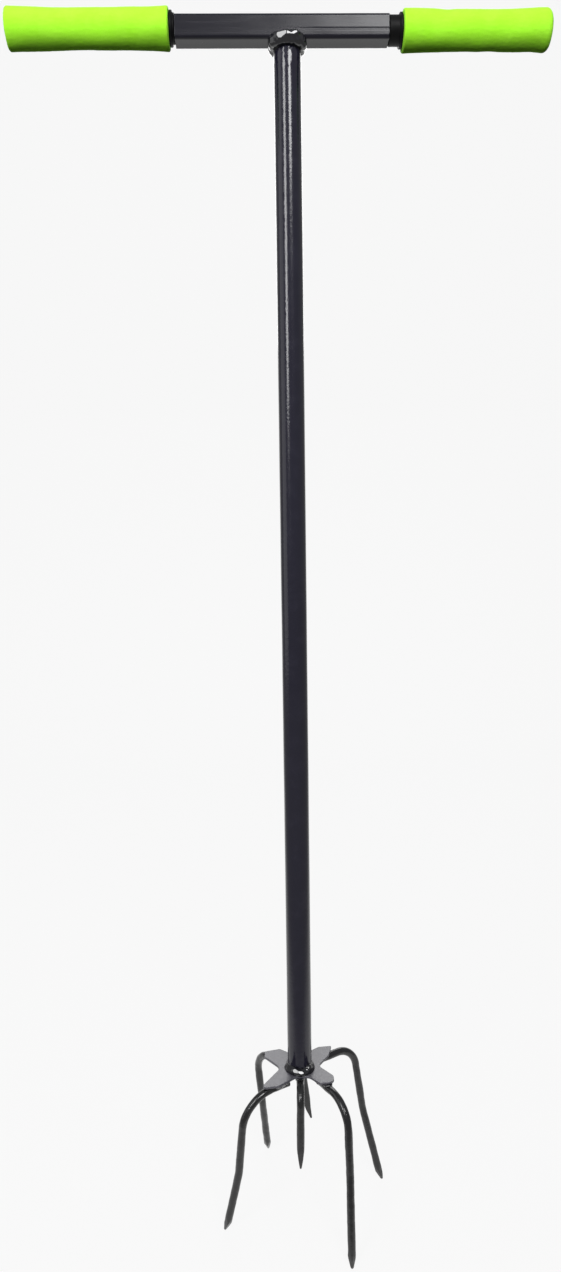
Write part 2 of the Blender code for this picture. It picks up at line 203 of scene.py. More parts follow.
@dataclass
class Skin:
    """A closed surface on a grid of points: each row of the grid is a closed ring.

    The last row joins the first where `ring_rows` is set. Otherwise a fan closes the
    first and the last row.
    """

    grid: np.ndarray
    ring_rows: bool = False

    def turn(self) -> float:
        """Which way the quads face: the sign of the enclosed volume.

        The volume is a sixth of the summed triple products.

        Returns:
            1 where they face outwards and -1 where they face inwards.
        """
        points = self.grid.reshape(-1, 3) - self.grid.reshape(-1, 3).mean(axis=0)
        a, b, c, d = (points[numbers] for numbers in quads(self.grid, self.ring_rows, True).T)
        twice = np.cross(b - a, c - a) * a + np.cross(c - a, d - a) * a
        return 1.0 if twice.sum() >= 0 else -1.0

    def normals(self) -> np.ndarray:
        """Normals, from the cross product of the two central differences.

        Returns:
            An outward unit vector for each point.
        """
        across = np.roll(self.grid, -1, axis=1) - np.roll(self.grid, 1, axis=1)
        if self.ring_rows:
            down = np.roll(self.grid, -1, axis=0) - np.roll(self.grid, 1, axis=0)
        else:
            down = np.gradient(self.grid, axis=0)
        return unit(np.cross(across, down)) * self.turn()

    def raised(self, amount: np.ndarray) -> "Skin":
        """The same surface moved out along its normals by an amount for each point."""
        return Skin(self.grid + self.normals() * amount[..., None], self.ring_rows)

    def piece(self, name: str, sharp_angle: float = ALL_SMOOTH) -> bpy.types.Object:
        """A linked object with this surface as its mesh.

        Args:
            name: the object's name.
            sharp_angle: edges that turn more than this, in degrees, stay sharp.

        Returns:
            The object, at the origin.
        """
        rows, columns = self.grid.shape[:2]
        points = self.grid.reshape(-1, 3)
        faces = quads(self.grid, self.ring_rows, True).tolist()
        if not self.ring_rows:
            points = np.vstack([points, self.grid[0].mean(axis=0), self.grid[-1].mean(axis=0)])
            here = np.arange(columns)
            beside = (here + 1) % columns
            last = (rows - 1) * columns
            centre = np.full(columns, rows * columns)
            faces += np.stack([centre, beside, here], -1).tolist()
            faces += np.stack([centre + 1, last + here, last + beside], -1).tolist()
        if self.turn() < 0:
            faces = [face[::-1] for face in faces]
        return mesh_object(name, points, faces, sharp_angle)


def turned(profile: np.ndarray, sides: int, axis: str, centre: np.ndarray) -> np.ndarray:
    """Grid of a profile of (radius, along) points spun about an axis.

    Args:
        profile: rows of radius and distance along the axis.
        sides: points round each ring.
        axis: "X" or "Z".
        centre: the point that the distances start from.

    Returns:
        A grid with one row for each profile point.
    """
    angle = around(sides)
    radius, along = profile[:, :1], profile[:, 1:] + 0 * angle
    round_1, round_2 = radius * np.cos(angle), radius * np.sin(angle)
    order = (along, round_1, round_2) if axis == "X" else (round_1, round_2, along)
    return np.stack(order, axis=-1) + centre


def arc(centre: Pair, radius: float, start: float, end: float, steps: int) -> np.ndarray:
    """Points on an arc from start to end degrees, both included."""
    a = np.radians(np.linspace(start, end, steps + 1))
    return np.stack([centre[0] + radius * np.cos(a), centre[1] + radius * np.sin(a)], axis=-1)


def run(start: Pair, end: Pair, steps: int) -> np.ndarray:
    """Evenly spaced points from start to end, both included."""
    t = np.linspace(0.0, 1.0, steps + 1)[:, None]
    return np.array(start) * (1 - t) + np.array(end) * t


def bent_path(corners: list[np.ndarray], bends: tuple[float, ...], step: float) -> np.ndarray:
    """Straight runs with a round bend at each inner corner, as evenly spaced points.

    Each bend is an arc of its radius that touches both runs. Its centre lies on the line
    that halves the corner, and its points turn evenly about that centre.

    Args:
        corners: the corner points.
        bends: bend radius at each inner corner.
        step: wanted distance between points.

    Returns:
        The points, first corner to last.
    """
    path = [corners[0]]
    for before, corner, after, bend in zip(corners, corners[1:], corners[2:], bends):
        back, ahead = unit(before - corner), unit(after - corner)
        half = acos(float(np.clip(back @ ahead, -1.0, 1.0))) / 2
        centre = corner + unit(back + ahead) * bend / sin(half)
        start = unit(corner + back * bend / tan(half) - centre)
        end = unit(corner + ahead * bend / tan(half) - centre)
        swing = acos(float(np.clip(start @ end, -1.0, 1.0)))
        t = np.linspace(0.0, 1.0, BEND_POINTS)[:, None]
        turn = (np.sin((1 - t) * swing) * start + np.sin(t * swing) * end) / sin(swing)
        path += list(centre + turn * bend)
    dense = np.array(path + [corners[-1]])
    length = np.concatenate([[0.0], np.linalg.norm(np.diff(dense, axis=0), axis=1).cumsum()])
    even = np.linspace(0.0, length[-1], max(2, round(length[-1] / step)) + 1)
    return np.stack([np.interp(even, length, dense[:, k]) for k in range(3)], axis=-1)


def swept(path: np.ndarray, wide: np.ndarray, section: np.ndarray) -> np.ndarray:
    """Grid of a section carried along a path, each ring square to it.

    Args:
        path: the points of the path.
        wide: direction that the section's first axis keeps to, as far as it can.
        section: for each path point, ring points as (across, thin) distances.

    Returns:
        A grid with one row for each path point.
    """
    ahead = unit(np.gradient(path, axis=0))
    across = unit(wide - ahead * (ahead @ wide)[:, None])
    thin = np.cross(ahead, across)
    return path[:, None] + across[:, None] * section[..., :1] + thin[:, None] * section[..., 1:]


def on_bearing(place: Triple, bearing: float) -> np.ndarray:
    """Turn a place about the shaft's axis to its bearing.

    Args:
        place: reach from the shaft's axis, distance to the side, and height.
        bearing: in degrees.

    Returns:
        The point.
    """
    reach, side, height = place
    a = radians(bearing)
    return np.array([reach * cos(a) - side * sin(a), reach * sin(a) + side * cos(a), height])


# Shader maths


class Term:
    """A socket that can be used in arithmetic: each operator adds a Math node."""

    def __init__(self, graph: "Graph", socket: bpy.types.NodeSocket) -> None:
        """Wrap a socket of a graph."""
        self.graph = graph
        self.socket = socket

    def __add__(self, other: "Term | float") -> "Term":
        """This plus other."""
        return self.graph.maths("ADD", self, other)

    def __sub__(self, other: "Term | float") -> "Term":
        """This minus other."""
        return self.graph.maths("SUBTRACT", self, other)

    def __rsub__(self, other: float) -> "Term":
        """Other minus this."""
        return self.graph.maths("SUBTRACT", other, self)

    def __mul__(self, other: "Term | float") -> "Term":
        """This times other."""
        return self.graph.maths("MULTIPLY", self, other)

    __radd__, __rmul__ = __add__, __mul__

    def either(self, other: "Term | float") -> "Term":
        """The larger of this and other."""
        return self.graph.maths("MAXIMUM", self, other)

    def step(self, low: float, high: float) -> "Term":
        """Smooth step from 0 at low to 1 at high."""
        return self.graph.term("ShaderNodeMapRange",
                               {"Value": self, "From Min": low, "From Max": high},
                               "Result", interpolation_type="SMOOTHSTEP")


class Graph:
    """The nodes of one material, with one method that adds any node."""

    noise_roughness = 0.55

    def __init__(self, tree: bpy.types.NodeTree) -> None:
        """Empty a node tree to build in."""
        tree.nodes.clear()
        self.tree = tree

    def add(self, kind: str, sockets: dict | None = None, **settings: str) -> bpy.types.Node:
        """Add a node.

        Args:
            kind: the node's type.
            sockets: input name or number, with a value or a Term to link.
            settings: the node's own properties, set before the sockets.

        Returns:
            The node.
        """
        node = self.tree.nodes.new(kind)
        for key, value in settings.items():
            setattr(node, key, value)
        for key, value in (sockets or {}).items():
            if isinstance(value, Term):
                self.tree.links.new(value.socket, node.inputs[key])
            else:
                node.inputs[key].default_value = value
        return node

    def term(self, kind: str, sockets: dict | None = None, output: str | int = 0,
             **settings: str) -> Term:
        """Add a node and take one of its outputs."""
        return Term(self, self.add(kind, sockets, **settings).outputs[output])

    def maths(self, operation: str, *terms: "Term | float") -> Term:
        """A Math node on one or two values."""
        return self.term("ShaderNodeMath", dict(enumerate(terms)), operation=operation)

    def place(self) -> Term:
        """Object coordinates, which are the frame's own metres on every piece."""
        return self.term("ShaderNodeTexCoord", output="Object")

    def axes(self, place: Term) -> list[Term]:
        """The x, y and z of a place."""
        return [Term(self, socket)
                for socket in self.add("ShaderNodeSeparateXYZ", {0: place}).outputs]

    def noise(self, place: Term, size: float, detail: float = 2.0,
              stretch: Triple = (1.0, 1.0, 1.0)) -> Term:
        """Noise from 0 to 1 whose grains are about `size` metres across.

        Args:
            place: the coordinates it is read at.
            size: size of a grain.
            detail: number of finer layers.
            stretch: how many times closer the grains are along each axis.

        Returns:
            The noise value.
        """
        scaled = self.term("ShaderNodeMapping", {"Vector": place, "Scale": stretch},
                           vector_type="POINT")
        return self.term("ShaderNodeTexNoise",
                         {"Vector": scaled, "Scale": 1.0 / size, "Detail": detail,
                          "Roughness": self.noise_roughness}, noise_dimensions="3D")

    def cells(self, place: Term, size: float) -> Term:
        """Distance to the nearest of random points about `size` metres apart, in sizes."""
        return self.term("ShaderNodeTexVoronoi", {"Vector": place, "Scale": 1.0 / size},
                         "Distance", feature="F1")

    def blend(self, share: Term, first: Colour | Term, second: Colour | Term) -> Term:
        """A colour mixed from two by a share."""
        return self.term("ShaderNodeMix", {0: share, 6: first, 7: second}, 2, data_type="RGBA")

    def relief(self, height: Term, depth: float, strength: float = 1.0) -> Term:
        """A normal bumped by a height from 0 to 1 that stands for `depth` metres."""
        return self.term("ShaderNodeBump",
                         {"Strength": strength, "Distance": depth, "Height": height})

    def looked_at(self) -> Term:
        """Whether a surface is being looked at, by the camera or in a mirror or glass.

        Returns:
            1 for camera, mirror and glass rays, 0 for the rest.
        """
        rays = self.add("ShaderNodeLightPath").outputs
        mirror, glass, camera = (Term(self, rays[f"Is {kind} Ray"])
                                 for kind in ("Glossy", "Transmission", "Camera"))
        return mirror.either(glass).either(camera)

    def surface(self, sockets: dict) -> None:
        """Finish the material with a Principled shader that has these sockets."""
        self.finish(self.term("ShaderNodeBsdfPrincipled", sockets))

    def finish(self, shader: Term) -> None:
        """Send a shader to the material's surface output."""
        self.add("ShaderNodeOutputMaterial", {"Surface": shader})


def new_graph(name: str) -> tuple[bpy.types.Material, Graph]:
    """Start a material.

    Args:
        name: the material's name.

    Returns:
        The material and its empty graph.
    """
    material = bpy.data.materials.new(name)
    material.use_nodes = True
    return material, Graph(material.node_tree)


# Finishes


@dataclass(frozen=True)
class Paint:
    """Thick gloss paint on steel: orange peel, small specks and a little dust.

    Peel and specks have a size and a depth. Roughness has a least value and a spread.
    """

    name: str
    colour: Colour
    dust: Colour
    roughness: Pair
    specular: float
    peel: Pair
    speck: Pair
    slot: Slot = Slot.BLACK_PAINT
    dust_size: float = 0.012
    dust_edge: Pair = (0.45, 0.75)
    speck_share: float = 0.6
    stretch: Triple = (1.0, 1.0, 1.0)

    def material(self) -> bpy.types.Material:
        """Make the paint, whose noises are read in the frame's own metres.

        Returns:
            The material.
        """
        material, graph = new_graph(self.name)
        place = graph.place()
        (peel_size, peel_depth), (speck_size, speck_depth) = self.peel, self.speck
        least, spread = self.roughness
        peel = graph.noise(place, peel_size, 1.5, self.stretch)
        speck = graph.noise(place, speck_size, 1.0)
        film = graph.noise(place, self.dust_size, 4.0, self.stretch)
        height = peel + speck * (speck_depth / peel_depth)
        graph.surface({
            "Base Color": graph.blend(film.step(*self.dust_edge), self.colour, self.dust),
            "Roughness": least + spread * (film + speck * self.speck_share),
            "Specular IOR Level": self.specular,
            "Normal": graph.relief(height, peel_depth),
        })
        return material


@dataclass(frozen=True)
class MouldedPlastic:
    """Black moulded plastic with a fine spark-eroded grain."""

    name: str = "moulded_black_plastic"
    slot: Slot = Slot.BLACK_PLASTIC
    colour: Colour = (0.0012, 0.0012, 0.0014, 1.0)
    rubbed: Colour = (0.0045, 0.0045, 0.0050, 1.0)
    roughness: Pair = (0.42, 0.16)
    specular: float = 0.16
    grain_size: float = 0.0006
    grain_depth: float = 0.00004
    rubbing_size: float = 0.009
    rubbing_edge: Pair = (0.5, 0.8)

    def material(self) -> bpy.types.Material:
        """Make the plastic.

        Returns:
            The material.
        """
        material, graph = new_graph(self.name)
        place = graph.place()
        least, spread = self.roughness
        grain = graph.noise(place, self.grain_size, 2.0)
        rubbing = graph.noise(place, self.rubbing_size, 3.0).step(*self.rubbing_edge)
        graph.surface({
            "Base Color": graph.blend(rubbing, self.colour, self.rubbed),
            "Roughness": least + spread * grain,
            "Specular IOR Level": self.specular,
            "Normal": graph.relief(grain, self.grain_depth),
        })
        return material


@dataclass(frozen=True)
class LimeFoam:
    """Lime green foam: a matt skin of fine pores over a softly uneven body. The pore dimples are
    coloured darker than the skin, as painted shade.
    """

    name: str = "lime_foam_skin"
    slot: Slot = Slot.GREEN_FOAM
    colour: Colour = (0.355, 0.90, 0.026, 1.0)
    pore_shade_colour: Colour = (0.27, 0.78, 0.012, 1.0)
    pale: Colour = (0.38, 0.92, 0.034, 1.0)
    roughness: Pair = (0.78, 0.14)
    specular: float = 0.2
    sheen: Pair = (0.05, 0.6)
    pore_size: float = 0.0009
    pore_depth: float = 0.00012
    pore_shade_share: float = 0.7
    pore_shade_edge: Pair = (0.05, 0.30)
    dimple_edge: Pair = (0.0, 0.5)
    fine_share: float = 0.35
    bump_strength: float = 0.7
    swell_size: float = 0.010
    swell_edge: Pair = (0.35, 0.7)

    def material(self) -> bpy.types.Material:
        """Make the foam's skin.

        Returns:
            The material.
        """
        material, graph = new_graph(self.name)
        place = graph.place()
        least, spread = self.roughness
        sheen_weight, sheen_roughness = self.sheen
        pores = graph.cells(place, self.pore_size)
        fine = graph.noise(place, self.pore_size * 0.5, 2.0)
        swell = graph.noise(place, self.swell_size, 3.0)
        skin = graph.blend(swell.step(*self.swell_edge), self.colour, self.pale)
        # painted shade: the colour darkens in the pore dimples, where the bump sinks in
        shaded_pore = 1.0 - pores.step(*self.pore_shade_edge)
        height = pores.step(*self.dimple_edge) + self.fine_share * fine
        graph.surface({
            "Base Color": graph.blend(shaded_pore * self.pore_shade_share, skin, self.pore_shade_colour),
            "Roughness": least + spread * fine,
            "Specular IOR Level": self.specular,
            "Sheen Weight": sheen_weight,
            "Sheen Roughness": sheen_roughness,
            "Normal": graph.relief(height, self.pore_depth, self.bump_strength),
        })
        return material


TUBE_GLOSS = Paint(
    "gloss_black_paint", colour=(0.0052, 0.0044, 0.0130, 1.0), dust=(0.0090, 0.0080, 0.0180, 1.0),
    roughness=(0.10, 0.09), specular=0.58, peel=(0.0030, 0.00009), speck=(0.0011, 0.000035))
BAR_GLOSS = Paint(
    "gloss_bar_paint", colour=(0.0050, 0.0046, 0.0092, 1.0), dust=(0.0100, 0.0095, 0.0145, 1.0),
    roughness=(0.18, 0.08), specular=0.34, peel=(0.0030, 0.000016), speck=(0.0012, 0.000004),
    dust_size=0.0022, stretch=(0.05, 1.0, 1.0))
ROD_GLOSS = Paint(
    "gloss_rod_paint", colour=(0.0040, 0.0040, 0.0044, 1.0), dust=(0.0100, 0.0100, 0.0104, 1.0),
    roughness=(0.11, 0.10), specular=0.60, peel=(0.0019, 0.00014), speck=(0.0007, 0.00003))
WELD_GLOSS = Paint(
    "gloss_weld_paint", colour=(0.0026, 0.0024, 0.0044, 1.0), dust=(0.0050, 0.0048, 0.0070, 1.0),
    roughness=(0.05, 0.05), specular=0.80, peel=(0.0018, 0.000016), speck=(0.0006, 0.000005))
PLATE_GLOSS = Paint(
    "plate_black_paint", colour=(0.066, 0.064, 0.078, 1.0), dust=(0.100, 0.097, 0.110, 1.0),
    roughness=(0.26, 0.14), specular=0.9, peel=(0.0026, 0.00005), speck=(0.0011, 0.00002),
    slot=Slot.PLATE_PAINT)


Finish = Paint | MouldedPlastic | LimeFoam


@cache
def material_of(finish: Finish) -> bpy.types.Material:
    """A finish's material, made the first time that it is asked for."""
    return finish.material()


def dress(skin: Skin, name: str, finish: Finish, node: str,
          sharp_angle: float = ALL_SMOOTH) -> bpy.types.Object:
    """Make a skin a piece, with its finish, its body and the node it stands for.

    Args:
        skin: the piece's surface.
        name: the piece's name.
        finish: the finish that it wears.
        node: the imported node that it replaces.
        sharp_angle: edges that turn more than this, in degrees, stay sharp.

    Returns:
        The piece.
    """
    piece = skin.piece(name, sharp_angle)
    piece.data.materials.append(material_of(finish))
    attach(piece, BODY)
    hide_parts(node)
    LOG.info("%s: %d faces", piece.name, len(piece.data.polygons))
    return piece


# Steelwork


@dataclass(frozen=True)
class ShaftTube:
    """The long round tube, slightly wavy, with thick paint and spatter near its welds."""

    wall: float = 0.0015
    lip: float = 0.0003
    lip_turn: float = 60.0
    sides: int = 112
    weld_rows: int = 60
    middle_rows: int = 200
    bore_rows: int = 40
    wave_noise: Pair = (0.000022, 0.055)
    wave_seed: int = 5
    lump_noise: Pair = (1.0, 0.0042)
    lump_seed: int = 11
    lump_height: float = 0.00016
    deepest_pit: float = -0.3
    foot_share: float = 0.6
    lumpy_run: float = 0.030

    def build(self) -> None:
        """Build and dress the tube.

        Its section is a closed profile: up the outside, over the top lip, down the bore
        and round the bottom lip. The outside is raised by long soft noise all over, and
        by short noise that fades away from both welds.
        """
        low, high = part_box("shaft_tube")
        radius = (high.x - low.x) / 2
        bore = radius - self.wall
        foot, top = low.z + self.lip, high.z - self.lip
        near = np.linspace(0.0, self.lumpy_run, self.weld_rows) * (1 - self.lip / self.lumpy_run)
        middle = np.linspace(low.z + self.lumpy_run, high.z - self.lumpy_run, self.middle_rows)
        up = np.concatenate([foot + near, middle[1:-1], top - near[::-1]])
        outside = np.stack([np.full_like(up, radius), up], axis=-1)
        outer, inner = radius - self.lip, bore + self.lip
        lips = [arc(centre, self.lip, start, start + self.lip_turn, 2)
                for centre, start in (((outer, top), 30), ((inner, top), 90),
                                      ((inner, foot), 210), ((outer, foot), 270))]
        inside = run((bore, top), (bore, foot), self.bore_rows)
        profile = np.vstack([outside, *lips[:2], inside, *lips[2:]])
        skin = Skin(turned(profile, self.sides, "Z", ORIGIN), ring_rows=True)
        height = skin.grid[..., 2]
        ends = (hump(height, high.z, self.lumpy_run / 2)
                + self.foot_share * hump(height, low.z, self.lumpy_run / 3))
        lumps = soft_noise(skin.grid, self.lump_noise, self.lump_seed)
        lumps = np.maximum(lumps, self.deepest_pit) * self.lump_height
        raise_by = soft_noise(skin.grid, self.wave_noise, self.wave_seed) + lumps * ends
        raise_by[len(outside):] = 0.0
        dress(skin.raised(raise_by), "painted_shaft", TUBE_GLOSS, "shaft_tube")


@dataclass(frozen=True)
class Crossbar:
    """The square tube: rounded corners, hollow faces and a roll mark along its front."""

    wall: float = 0.0015
    corner: float = 0.0026
    corner_steps: int = 9
    face_steps: int = 22
    hollow: float = 0.00007
    mark_drop: float = 0.0026
    mark_depth: float = 0.00030
    mark_width: float = 0.00060
    mark_start: float = -0.01
    mark_run_in: float = 0.04
    lean_depth: float = 0.00035
    skin_depth: float = 0.001
    wave_noise: Pair = (0.000012, 0.022)
    seed: int = 8
    row_step: float = 0.0011
    bore_rows: int = 12
    lip: float = 0.00015
    lip_run: float = 0.0003
    sharp_angle: float = 60.0

    def outline(self, side: float, corner: float) -> np.ndarray:
        """Outline of a square with round corners: four arcs and the runs between them.

        Args:
            side: the square's side.
            corner: radius of its corners.

        Returns:
            (y, z) points, anticlockwise.
        """
        inset = side / 2 - corner
        bends = [arc((y * inset, z * inset), corner, start, start + 90, self.corner_steps)
                 for start, y, z in ((0, 1, 1), (90, -1, 1), (180, -1, -1), (270, 1, -1))]
        parts = []
        for bend, after in zip(bends, bends[1:] + bends[:1]):
            parts += [bend, run(tuple(bend[-1]), tuple(after[0]), self.face_steps)[1:-1]]
        return np.vstack(parts)

    def build(self) -> None:
        """Build and dress the tube.

        The outline is carried along X outside and back inside, with two rings close
        behind each end's lip to keep the faces flat there. Each face is hollow by
        h(1 - s^2), s running from -1 to 1 across it, and the front face has a shallow
        groove below its middle and leans in under it, both growing towards the right.
        """
        low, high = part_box("crossbar_tube")
        side = high.z - low.z
        middle = (high.z + low.z) / 2
        outer = self.outline(side, self.corner)
        inner = self.outline(side - 2 * self.wall, self.corner - self.wall)
        rows = round((high.x - low.x) / self.row_step)
        lip, lip_end = self.lip, self.lip + self.lip_run
        along = np.concatenate([
            [low.x + lip], np.linspace(low.x + lip_end, high.x - lip_end, rows), [high.x - lip]])

        def ring(outline: np.ndarray, x: float, scale: float) -> np.ndarray:
            """An outline at a place along the tube, drawn in to a scale."""
            return np.column_stack([np.full(len(outline), x), outline * scale + [0.0, middle]])

        shrink = 1 - 2 * lip / side
        rings = [ring(outer, low.x, shrink)]
        rings += [ring(outer, x, 1.0) for x in along]
        rings += [ring(outer, high.x, shrink)]
        outside = len(rings)
        rings += [ring(inner, x, 1.0) for x in np.linspace(high.x, low.x, self.bore_rows)]
        skin = Skin(np.array(rings), ring_rows=True)
        x, y, z = np.moveaxis(skin.grid, -1, 0)
        z = z - middle
        across = np.where(np.abs(y) > np.abs(z), z, y) / (side / 2 - self.corner)
        raise_by = -self.hollow * np.clip(1 - across ** 2, 0.0, 1.0)
        in_front = y < -side / 2 + self.skin_depth
        front = in_front * ease(x, self.mark_start, self.mark_start + self.mark_run_in)
        groove = self.mark_depth * hump(z, -self.mark_drop, self.mark_width)
        lean = self.lean_depth * ease(-z, self.mark_drop, side / 2 - self.skin_depth)
        raise_by -= front * (groove + lean)
        raise_by += soft_noise(skin.grid, self.wave_noise, self.seed)
        raise_by[outside:] = 0.0
        dress(skin.raised(raise_by), "painted_crossbar", BAR_GLOSS, "crossbar_tube",
              self.sharp_angle)


@dataclass(frozen=True)
class Blob:
    """A puddle of weld that stands out from a bead."""

    bearing: float
    height: float
    width: float
    tall: float
    out: float

    def raised(self, angle: np.ndarray, height: np.ndarray, radius: float) -> np.ndarray:
        """How far it stands out: out * exp(-(u^2 + v^2)^1.5).

        u is the distance round the bead from its middle in widths, and v the distance
        up from it in heights.

        Args:
            angle: bearing of each point, in radians.
            height: height of each point above the bead's ring.
            radius: distance of the bead from the shaft's axis.

        Returns:
            The raise of each point.
        """
        turn = np.angle(np.exp(1j * (angle - radians(self.bearing))))
        u, v = turn * radius / self.width, (height - self.height) / self.tall
        return self.out * np.exp(-((u * u + v * v) ** 1.5))


@dataclass(frozen=True)
class Facet:
    """A place where a bead set flat: the side it faces, and how deep the flat cuts in."""

    bearing: float
    elevation: float
    cut: float

    def pressed(self, points: np.ndarray) -> np.ndarray:
        """The points, with those that stand out furthest moved back into one plane.

        The plane lies `cut` inside the point that reaches furthest along the normal.

        Args:
            points: the bead's points.

        Returns:
            The moved points.
        """
        turn, tilt = radians(self.bearing), radians(self.elevation)
        normal = np.array([cos(turn) * cos(tilt), sin(turn) * cos(tilt), sin(tilt)])
        reach = points @ normal
        beyond = np.maximum(reach - (reach.max() - self.cut), 0.0)
        return points - normal * beyond[..., None]


@dataclass(frozen=True)
class CollarBead:
    """A weld bead laid round the shaft: uneven, lumpy, with puddles and flat places."""

    node: str
    centre_reach: float
    reach: float
    rise: float
    drop: float
    lump_noise: Pair
    seed: int
    blobs: tuple[Blob, ...]
    facets: tuple[Facet, ...]
    power: float
    plan_power: float
    grit: Pair = (0.3, 0.35)
    swell_noise: Pair = (0.00015, 0.012)
    sag_noise: Pair = (0.0003, 0.009)
    sides: int = 300
    section_points: int = 60

    def build(self, height: float, squash_below: float | None = None) -> None:
        """Build and dress the bead.

        Its section is a superellipse round a ring just outside the shaft's skin. From
        above the ring is a superellipse too: a circle at a power of 2, and flatter in
        front, behind and at the sides above that. The bead swells and sags round the
        shaft by slow noise, and is raised by lumps, by finer grit and by its puddles.

        Args:
            height: height of the ring that the section is set round.
            squash_below: the bead is flattened to stay above this height, if given.
        """
        low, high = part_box("shaft_tube")
        radius = (high.x - low.x) / 2
        t = around(self.section_points)
        size = superellipse(t, self.power)
        up = size * np.sin(t)
        up = np.where(up > 0, up * self.rise, up * self.drop)
        out = size * np.cos(t) * self.reach
        profile = np.stack([radius + self.centre_reach + out, height + up], axis=-1)
        grid = turned(profile, self.sides, "Z", ORIGIN)
        angle = np.arctan2(grid[..., 1], grid[..., 0])
        ring = np.stack([np.cos(angle), np.sin(angle), 0 * angle], axis=-1) * radius
        grid[..., :2] *= superellipse(angle, self.plan_power)[..., None]
        grit_noise = tuple(self.lump_noise[k] * self.grit[k] for k in range(2))
        raise_by = (soft_noise(grid, self.lump_noise, self.seed + 1)
                    + soft_noise(grid, grit_noise, self.seed + 2)
                    + soft_noise(ring, self.swell_noise, self.seed))
        above = grid[..., 2] - height
        raise_by += sum(blob.raised(angle, above, radius + self.reach) for blob in self.blobs)
        grid = Skin(grid, ring_rows=True).raised(raise_by).grid
        grid[..., 2] -= soft_noise(ring, self.sag_noise, self.seed + 3)
        for facet in self.facets:
            grid = facet.pressed(grid)
        if squash_below is not None:
            grid[..., 2] = np.maximum(grid[..., 2], squash_below)
        dress(Skin(grid, ring_rows=True), f"lumpy_{self.node}", WELD_GLOSS, self.node)


HANDLE_BEAD = CollarBead(
    "handle_weld", centre_reach=0.0006, reach=0.0040, rise=0.0036, drop=0.0062,
    lump_noise=(0.00016, 0.0056), seed=3, power=2.6, plan_power=2.6,
    blobs=(Blob(bearing=-99.0, height=-0.0002, width=0.0066, tall=0.0032, out=0.0010),
           Blob(bearing=-68.0, height=0.0022, width=0.0034, tall=0.0036, out=0.0012),
           Blob(bearing=-150.0, height=-0.0030, width=0.0050, tall=0.0040, out=0.0007),
           Blob(bearing=-28.0, height=-0.0040, width=0.0050, tall=0.0035, out=0.0007)),
    facets=(Facet(bearing=-105.0, elevation=1.0, cut=0.00060),
            Facet(bearing=-83.5, elevation=1.0, cut=0.00020)),
)
HUB_BEAD = CollarBead(
    "hub_weld", centre_reach=0.0, reach=0.0031, rise=0.0052, drop=0.0020,
    lump_noise=(0.00012, 0.0070), seed=9, power=1.25, plan_power=2.0,
    blobs=(Blob(bearing=-90.0, height=0.0008, width=0.0120, tall=0.0040, out=0.0014),
           Blob(bearing=-114.0, height=0.0024, width=0.0044, tall=0.0026, out=0.0009),
           Blob(bearing=-84.0, height=0.0018, width=0.0042, tall=0.0028, out=0.0009),
           Blob(bearing=-49.0, height=0.0050, width=0.0034, tall=0.0030, out=0.0010),
           Blob(bearing=-36.0, height=0.0064, width=0.0050, tall=0.0044, out=0.0012)),
    facets=(Facet(bearing=-108.0, elevation=38.0, cut=0.00026),
            Facet(bearing=-83.0, elevation=38.0, cut=0.00024)),
)


